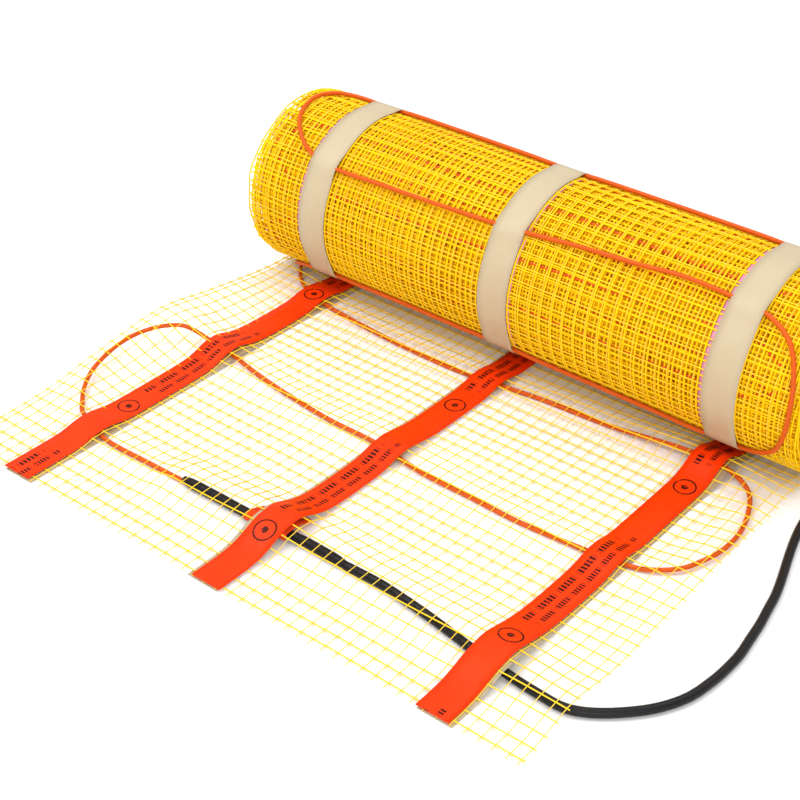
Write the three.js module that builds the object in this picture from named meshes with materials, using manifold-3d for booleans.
// Underfloor heating mat, part unrolled: a flat tail lies on the floor and the rest is a roll.
// Millimetres. X runs across the mat, Y from the cut front edge to the roll, Z up from the floor.
import * as THREE from 'three';
import * as BufferGeometryUtils from 'three/addons/utils/BufferGeometryUtils.js';
import Module from 'manifold-3d';

// Driving dimensions
const matWidth = 500;
const tailReach = 383;
const rollRadius = 74;
const boreRadius = 18;
const rollSides = 32;
const turnCount = 12;
const turnGroove = 2.5;

const layerGap = 0.3;
const linerThickness = 0.4;
const linerWidth = 26;
const tapeThickness = 0.5;
const tapeWidth = 25;
const tapeInset = 64;
const linerShifts = { left: 4.5, middle: -2.5, right: 4.7 };

const threadWidth = 1.4;
const threadThickness = 1.0;
const warpPitch = 20;
const weftPitch = 22.2;
const firstWeft = 5;

const cableDiameter = 3.5;
const sleeveDiameter = 7.5;
const leadDiameter = 6.4;
const patchWidth = 44;
const patchShift = -9;
const patchFront = 9;
const patchBack = 29;

const humpClearance = 0.8;
const humpTop = 12;
const humpFoot = 36;
const sideLift = 15;
const sideLiftFromRoll = 173;
const sideLiftSpread = 85;
const waveHeight = 3;
const waveFromRoll = 58;
const waveSpread = 22;

const coilTurnsAcross = 4;
const coilTurnsHigh = 3;
const coilMeanDiameter = 72;
const floorClearance = 0.2;
const loopStep = 12;

// Layer heights and the roll's place, worked out from the driving dimensions
const halfWidth = matWidth / 2;
const facetAngle = (2 * Math.PI) / rollSides;
const facetDrop = Math.cos(facetAngle / 2);
const coreRadius = rollRadius - linerThickness - layerGap;
const cableRadius = cableDiameter / 2;
const cableOnRoll = coreRadius + 2 * layerGap + cableRadius;
const layerOnLiner = linerThickness + layerGap;
const cableHeight = layerOnLiner + cableRadius;
const overSleeve = floorClearance + sleeveDiameter + layerGap;
const overPatch = overSleeve + tapeThickness + layerGap;
const overCable = cableDiameter + layerGap;
const humpOverSleeve = overPatch + linerThickness + humpClearance - layerOnLiner - overCable;
const matDepth = tailReach + cableOnRoll + cableRadius;
const frontY = -matDepth / 2;
const rollY = frontY + tailReach;
const rollZ = rollRadius * facetDrop;
const tapeSpacing = halfWidth - tapeInset;

// The flat mesh and the tapes end where the roll's underside comes down to their height
const stackHeight = layerOnLiner + cableDiameter + waveHeight + threadThickness + tapeThickness + 2 * layerGap;
const meshEndReach = tailReach - Math.sqrt(stackHeight * (2 * rollRadius - stackHeight));
const weftCount = Math.floor((meshEndReach - firstWeft) / weftPitch) + 1;

// The stations below were chosen on a mat of these sizes, and follow the driving dimensions
const chosen = { width: 500, tail: 383, roll: 73.3 };

function toSize([x, reach]) {
  const across = x * matWidth / chosen.width;
  if (reach <= chosen.tail) {
    return [across, reach * tailReach / chosen.tail];
  }
  return [across, tailReach + (reach - chosen.tail) * coreRadius / chosen.roll];
}

// Places along the cable: across the mat, then along it from the front edge, counted round the roll
const cableStations = [
  [-88, 68.5], [-122, 68], [-168, 68],
  [-203, 79], [-217, 90], [-228, 102], [-238, 119], [-243, 137], [-245, 156], [-242, 175], [-233, 193],
  [-219, 206], [-188, 209],
  [-151, 203], [-103, 196], [-59, 191], [-18, 190], [11, 186], [41, 183], [77, 183], [120, 182], [171, 186],
  [199, 190], [214, 195], [230, 208], [238, 226], [242, 245], [241, 269], [233, 295], [222, 311], [199, 321],
  [168, 323], [112, 319], [78, 317], [44, 315], [14, 311], [-30, 306], [-65, 306], [-107, 308], [-172, 315],
  [-203, 325], [-222, 340], [-235, 360], [-239, 382], [-237, 404], [-228, 425], [-212, 442], [-192, 450],
  [-172, 452], [-100, 450], [0, 452], [100, 451], [172, 453],
  [203, 459], [222, 472], [236, 494], [241, 518], [238, 543], [225, 567], [203, 581],
  [172, 586], [100, 586], [0, 587], [-100, 586], [-172, 586],
  [-200, 588], [-220, 594], [-231, 607], [-234, 624], [-229, 643], [-219, 656], [-206, 666], [-190, 672],
  [-165, 675], [-122, 674], [-45, 672], [13, 669], [58, 665], [107, 662], [138, 659], [176, 660],
  [204, 663], [224, 672], [235, 684], [242, 702], [244, 720], [243, 737], [236, 757], [222, 771], [203, 779],
  [173, 781], [124, 777], [0, 775], [-100, 774], [-172, 777],
  [-203, 782], [-222, 793], [-232, 806],
].map(toSize);

// Places along the joint sleeve and the cold lead, across the mat and along it from the front edge
const sleeveStations = [[-87.7, 68.5], [-54, 69], [-31, 69], [9, 70], [27, 71], [59.5, 70]].map(toSize);
const leadStations = [
  [59.8, 70], [75, 70.5], [90, 70.5], [107, 69], [132, 66], [162, 61], [180, 58], [195, 56], [212, 54],
  [230, 53], [241, 53], [251, 56], [262, 63], [275, 75], [287, 90], [296, 109], [300, 131], [301, 146],
  [301, 161], [299, 177], [297, 193], [294, 209], [291, 225], [286, 243], [280, 262], [275, 279], [271, 295],
  [269, 308], [269, 321], [273, 337], [276, 351],
].map(toSize);
const coilCentre = toSize([327.5, 358]);

const meshYellow = new THREE.MeshStandardMaterial({ color: 0xf4d21f, roughness: 0.5 });
const rollYellow = new THREE.MeshStandardMaterial({ color: 0xf5b800, roughness: 0.7 });
const tapeOrange = new THREE.MeshStandardMaterial({ color: 0xff4a08, roughness: 0.45 });
const linerCream = new THREE.MeshStandardMaterial({ color: 0xe9d5b1, roughness: 0.55 });
const cableOrange = new THREE.MeshStandardMaterial({ color: 0xe85a30, roughness: 0.5 });
const sleeveBlack = new THREE.MeshStandardMaterial({ color: 0x1d1a1c, roughness: 0.45 });
const leadBlack = new THREE.MeshStandardMaterial({ color: 0x151416, roughness: 0.5 });

const model = new THREE.Group();

function addPiece(name, geometry, material) {
  const mesh = new THREE.Mesh(geometry, material);
  mesh.name = name;
  model.add(mesh);
  return mesh;
}

const wasm = await Module();
wasm.setup();

function toSolid(geometry) {
  const bare = geometry.clone();
  bare.deleteAttribute('normal');
  bare.deleteAttribute('uv');
  const merged = BufferGeometryUtils.mergeVertices(bare, 1e-4);
  return new wasm.Manifold(new wasm.Mesh({
    numProp: 3,
    vertProperties: new Float32Array(merged.attributes.position.array),
    triVerts: new Uint32Array(merged.index.array),
  }));
}

function toGeometry(solid) {
  const mesh = solid.getMesh();
  const geometry = new THREE.BufferGeometry();
  geometry.setAttribute('position', new THREE.BufferAttribute(mesh.vertProperties, 3));
  geometry.setIndex(new THREE.BufferAttribute(mesh.triVerts, 1));
  geometry.computeVertexNormals();
  return geometry;
}

// A curve that is sampled evenly between its stations, so that rings follow the chosen points
class StationCurve extends THREE.CatmullRomCurve3 {
  getUtoTmapping(u) {
    return u;
  }
}

function tubeAlong(points, radius, sides) {
  const section = new THREE.Shape();
  for (let side = 0; side < sides; side += 1) {
    const angle = (side + 0.5) * 2 * Math.PI / sides;
    const corner = [radius * Math.cos(angle), radius * Math.sin(angle)];
    if (side === 0) {
      section.moveTo(...corner);
    } else {
      section.lineTo(...corner);
    }
  }
  const curve = new StationCurve(points, false, 'centripetal');
  const steps = points.length - 1;
  return new THREE.ExtrudeGeometry(section, { extrudePath: curve, steps, bevelEnabled: false });
}

// Extrudes a closed outline in the YZ plane across the mat, centred on x
function sideProfile(outline, x, width) {
  const shape = new THREE.Shape(outline.map(([y, z]) => new THREE.Vector2(y, z)));
  const geometry = new THREE.ExtrudeGeometry(shape, { depth: width, bevelEnabled: false });
  const toFrame = new THREE.Matrix4().makeBasis(
    new THREE.Vector3(0, 1, 0), new THREE.Vector3(0, 0, 1), new THREE.Vector3(1, 0, 0));
  geometry.applyMatrix4(toFrame);
  geometry.translate(x - width / 2, 0, 0);
  return geometry;
}

function bell(distance, spread) {
  return Math.exp(-((distance / spread) ** 2));
}

// How far from the front edge the joint and the lead lie, at a place across the mat
function leadLine(x) {
  const line = [...sleeveStations, ...leadStations.slice(1, 12)];
  const next = line.findIndex((station) => station[0] > x);
  if (next <= 0) {
    return next === 0 ? line[0][1] : line[line.length - 1][1];
  }
  const [xFrom, from] = line[next - 1];
  const [xTo, to] = line[next];
  return from + (to - from) * (x - xFrom) / (xTo - xFrom);
}

// Underside of the glass mesh on the tail: low at the cut edge, then clear of the cable,
// humped over the joint and the lead, and curled up along the left side
function meshUnderside(x, reach) {
  const { smoothstep } = THREE.MathUtils;
  const rise = overCable * smoothstep(reach, firstWeft, firstWeft + 2 * weftPitch);
  const fromLead = Math.abs(reach - leadLine(x));
  const besideSleeve = smoothstep(x, sleeveStations[0][0] - humpFoot, sleeveStations[0][0] - humpTop);
  const hump = humpOverSleeve * besideSleeve * (1 - smoothstep(fromLead, humpTop, humpFoot));
  const atLeft = smoothstep(-x, tapeSpacing, halfWidth);
  const curl = sideLift * atLeft * bell(tailReach - sideLiftFromRoll - reach, sideLiftSpread);
  const atRight = smoothstep(x, tapeSpacing / 3, tapeSpacing);
  const wave = waveHeight * atRight * bell(tailReach - waveFromRoll - reach, waveSpread);
  return layerOnLiner + rise + hump + curl + wave;
}

// Rolled part of the mat, one turned solid whose grooved ends show the turns
function rollGeometry() {
  const turnPitch = (coreRadius - boreRadius) / turnCount;
  const endProfile = [];
  for (let turn = 0; turn < turnCount; turn += 1) {
    const inner = boreRadius + turn * turnPitch;
    endProfile.push([inner, halfWidth - turnGroove], [inner + turnPitch / 2, halfWidth]);
  }
  endProfile.push([coreRadius, halfWidth - turnGroove]);
  const mirrored = endProfile.map(([radius, x]) => [radius, -x]).reverse();
  const closed = [...mirrored, ...endProfile, mirrored[0]];
  const profile = closed.map(([radius, x]) => new THREE.Vector2(radius, x)).reverse();
  const turned = new THREE.LatheGeometry(profile, rollSides);
  turned.rotateY(facetAngle / 2);
  turned.rotateZ(-Math.PI / 2);
  turned.translate(0, rollY, rollZ);
  return turned;
}

// A place on the cable: on the tail it lies flat, and past the roll's lowest line it goes round it
function cablePoint([x, reach]) {
  if (reach <= tailReach) {
    return new THREE.Vector3(x, frontY + reach, cableHeight);
  }
  const angle = (reach - tailReach) / coreRadius;
  const y = rollY + cableOnRoll * Math.sin(angle);
  const z = Math.max(cableHeight, rollZ - cableOnRoll * Math.cos(angle));
  return new THREE.Vector3(x, y, z);
}

// Loops take a step every few millimetres along the mat, and straight runs one for each station
function cableLine(from, to) {
  const flat = new StationCurve(
    cableStations.map(([x, reach]) => new THREE.Vector3(x, reach, 0)), false, 'centripetal');
  const spans = cableStations.length - 1;
  const points = [];
  for (let span = 0; span < spans; span += 1) {
    const advance = Math.abs(cableStations[span + 1][1] - cableStations[span][1]);
    const onRoll = cableStations[span + 1][1] > tailReach;
    const steps = onRoll ? Math.ceil(advance / loopStep) : 1;
    for (let step = 0; step < steps; step += 1) {
      const place = flat.getPoint((span + step / steps) / spans);
      points.push([place.x, place.y]);
    }
  }
  points.push(cableStations[spans]);
  return points.filter(([, reach]) => reach >= from && reach <= to).map(cablePoint);
}

const cablePoints = cableLine(0, Infinity);

// The angle round the roll of each cable run that passes under a liner
function cableAnglesAt(x) {
  const angles = [];
  for (let index = 1; index < cableStations.length; index += 1) {
    const [xFrom, from] = cableStations[index - 1];
    const [xTo, to] = cableStations[index];
    const crosses = (xFrom - x) * (xTo - x) <= 0 && xFrom !== xTo;
    if (crosses && from > tailReach) {
      const reach = from + (to - from) * (x - xFrom) / (xTo - xFrom);
      angles.push((reach - tailReach) / coreRadius);
    }
  }
  return angles;
}

// Release liner: a flat strip under the tail, over the joint or the lead where it meets one,
// that goes on round the outside of the roll
function linerGeometry(x) {
  const bumpTop = 0.05;
  const bumpFoot = 0.15;
  const lastAngle = 2 * Math.PI - 0.4;
  const corners = [];
  for (let side = 0; (side + 0.5) * facetAngle < lastAngle; side += 1) {
    corners.push({ angle: (side + 0.5) * facetAngle, lift: 0 });
  }
  corners.push({ angle: lastAngle, lift: 0 });
  let around = corners;
  for (const centre of cableAnglesAt(x)) {
    around = around.filter((corner) => Math.abs(corner.angle - centre) > bumpFoot + 0.02);
    around.push({ angle: centre - bumpFoot, lift: 0 }, { angle: centre + bumpFoot, lift: 0 });
    around.push({ angle: centre - bumpTop, lift: 1 }, { angle: centre + bumpTop, lift: 1 });
  }
  around.sort((first, second) => first.angle - second.angle);
  const bumpHeight = cableDiameter + 2 * layerGap;
  const place = (corner, depth) => {
    const radius = rollRadius - depth + corner.lift * bumpHeight;
    return [rollY + radius * Math.sin(corner.angle), rollZ - radius * Math.cos(corner.angle)];
  };
  const outside = around.map((corner) => place(corner, 0));
  const inside = around.map((corner) => place(corner, linerThickness)).reverse();
  const crossesJoint = x > sleeveStations[0][0];
  const hump = [[-humpFoot, 0], [-sleeveDiameter, overPatch], [sleeveDiameter, overPatch], [humpFoot, 0]];
  const over = crossesJoint ? hump : [];
  const lower = [[frontY, 0], ...over.map(([along, z]) => [frontY + leadLine(x) + along, z])];
  const upper = lower.map(([y, z]) => [y, z + linerThickness]).reverse();
  return sideProfile([...lower, ...outside, ...inside, ...upper], x, linerWidth);
}

// Orange tape on top of the mesh, with its corners over the weft threads
function tapeGeometry(x) {
  const reaches = [0];
  for (let weft = 0; weft < weftCount; weft += 1) {
    reaches.push(firstWeft + weft * weftPitch);
  }
  reaches.push(meshEndReach);
  const across = [-0.5, -0.25, 0, 0.25, 0.5].map((share) => x + share * tapeWidth);
  const heights = reaches.map((reach) => {
    const highest = Math.max(...across.map((place) => meshUnderside(place, reach)));
    return highest + threadThickness + layerGap;
  });
  const lower = reaches.map((reach, index) => [frontY + reach, heights[index]]);
  const upper = reaches.map((reach, index) => [frontY + reach, heights[index] + tapeThickness]);
  return sideProfile([...lower, ...upper.reverse()], x, tapeWidth);
}

// Short tape that holds the joint down, saddled over the sleeve under the middle liner
function patchGeometry() {
  const { lerp } = THREE.MathUtils;
  const centre = leadLine(patchShift);
  const shoulder = sleeveDiameter / 2 + layerGap;
  const lower = [
    [-patchFront, floorClearance], [-shoulder, overSleeve], [shoulder, overSleeve],
    [lerp(shoulder, patchBack, 0.5), lerp(overSleeve, floorClearance, 0.7)], [patchBack, floorClearance],
  ].map(([along, z]) => [frontY + centre + along, z]);
  const upper = lower.map(([y, z]) => [y, z + tapeThickness]).reverse();
  return sideProfile([...lower, ...upper], patchShift, patchWidth);
}

// Edges of the threads along one direction: a stub, then a thread and an opening in turn, then a stub
function threadEdges(start, centres, end) {
  const edges = [start];
  for (const centre of centres) {
    edges.push(centre - threadWidth / 2, centre + threadWidth / 2);
  }
  edges.push(end);
  return edges;
}

// Glass mesh: a grid of flat threads joined where they cross, following the tail's height
function meshGeometry(xEdges, reachEdges) {
  const columns = xEdges.length;
  const positions = [];
  for (const thickness of [0, threadThickness]) {
    for (const reach of reachEdges) {
      for (const x of xEdges) {
        positions.push(x, frontY + reach, meshUnderside(x, reach) + thickness);
      }
    }
  }
  const layer = columns * reachEdges.length;
  const isThread = (column, row) => {
    const inside = column >= 0 && row >= 0 && column < columns - 1 && row < reachEdges.length - 1;
    return inside && (column % 2 === 1 || row % 2 === 1);
  };
  const triangles = [];
  const quad = (a, b, c, d) => triangles.push(a, b, c, a, c, d);
  for (let row = 0; row < reachEdges.length - 1; row += 1) {
    for (let column = 0; column < columns - 1; column += 1) {
      if (!isThread(column, row)) {
        continue;
      }
      const nearLeft = row * columns + column;
      const nearRight = nearLeft + 1;
      const farLeft = nearLeft + columns;
      const farRight = farLeft + 1;
      quad(nearLeft, farLeft, farRight, nearRight);
      quad(nearLeft + layer, nearRight + layer, farRight + layer, farLeft + layer);
      if (!isThread(column, row - 1)) {
        quad(nearLeft, nearRight, nearRight + layer, nearLeft + layer);
      }
      if (!isThread(column, row + 1)) {
        quad(farRight, farLeft, farLeft + layer, farRight + layer);
      }
      if (!isThread(column - 1, row)) {
        quad(farLeft, nearLeft, nearLeft + layer, farLeft + layer);
      }
      if (!isThread(column + 1, row)) {
        quad(nearRight, farRight, farRight + layer, nearRight + layer);
      }
    }
  }
  const used = new THREE.BufferGeometry();
  used.setAttribute('position', new THREE.Float32BufferAttribute(positions, 3));
  used.setIndex(triangles);
  const welded = BufferGeometryUtils.mergeVertices(used.toNonIndexed(), 1e-4);
  welded.computeVertexNormals();
  return welded;
}

const warps = [];
for (let x = -Math.floor(halfWidth / warpPitch) * warpPitch; x <= halfWidth; x += warpPitch) {
  if (Math.abs(x) < halfWidth - threadWidth) {
    warps.push(x);
  }
}
const wefts = [];
for (let weft = 0; weft < weftCount; weft += 1) {
  wefts.push(firstWeft + weft * weftPitch);
}
const meshTail = meshGeometry(
  threadEdges(-halfWidth, warps, halfWidth),
  threadEdges(0, wefts, meshEndReach));
addPiece('mesh_tail', meshTail, meshYellow);

// The roll, with a channel pressed into it where the cable passes beneath it at the left
const underRoll = cableLine(tailReach - rollRadius, tailReach + rollRadius)
  .filter((point) => point.x < -tapeSpacing && point.z < rollRadius / 3);
const channel = toSolid(tubeAlong(underRoll, cableRadius + 2 * layerGap, 8));
const rolled = toSolid(rollGeometry()).subtract(channel);
addPiece('mat_roll', toGeometry(rolled), rollYellow);

for (const [side, x] of [['left', -tapeSpacing], ['middle', 0], ['right', tapeSpacing]]) {
  addPiece(`tape_${side}`, tapeGeometry(x), tapeOrange);
  addPiece(`liner_${side}`, linerGeometry(x + linerShifts[side]), linerCream);
}

addPiece('heating_cable', tubeAlong(cablePoints, cableRadius, 8), cableOrange);

const sleeveHeight = floorClearance + sleeveDiameter / 2;
const sleevePoints = sleeveStations.map(([x, reach]) => new THREE.Vector3(x, frontY + reach, sleeveHeight));
addPiece('joint_sleeve', tubeAlong(sleevePoints, sleeveDiameter / 2, 12), sleeveBlack);
addPiece('joint_tape', patchGeometry(), tapeOrange);

// Cold lead, from the joint out of the mat and along the floor to its coil
const leadHeight = floorClearance + leadDiameter / 2;
const leadPoints = leadStations.map(([x, reach]) => new THREE.Vector3(x, frontY + reach, leadHeight));
addPiece('cold_lead', tubeAlong(leadPoints, leadDiameter / 2, 10), leadBlack);

const coilInner = coilMeanDiameter / 2 - coilTurnsAcross * leadDiameter / 2;
const coilOuter = coilMeanDiameter / 2 + coilTurnsAcross * leadDiameter / 2;
const coilTop = floorClearance + coilTurnsHigh * leadDiameter;
const coilRound = leadDiameter / 3;
const coilProfile = [
  [coilInner + coilRound, floorClearance],
  [coilOuter - coilRound, floorClearance],
  [coilOuter, floorClearance + coilRound],
  [coilOuter, coilTop - coilRound],
  [coilOuter - coilRound, coilTop],
  [coilInner + coilRound, coilTop],
  [coilInner, coilTop - coilRound],
  [coilInner, floorClearance + coilRound],
  [coilInner + coilRound, floorClearance],
].map(([radius, z]) => new THREE.Vector2(radius, z));
const coil = new THREE.LatheGeometry(coilProfile, 32);
coil.rotateX(Math.PI / 2);
coil.translate(coilCentre[0], frontY + coilCentre[1], 0);
addPiece('cold_lead_coil', coil, leadBlack);

export default model;
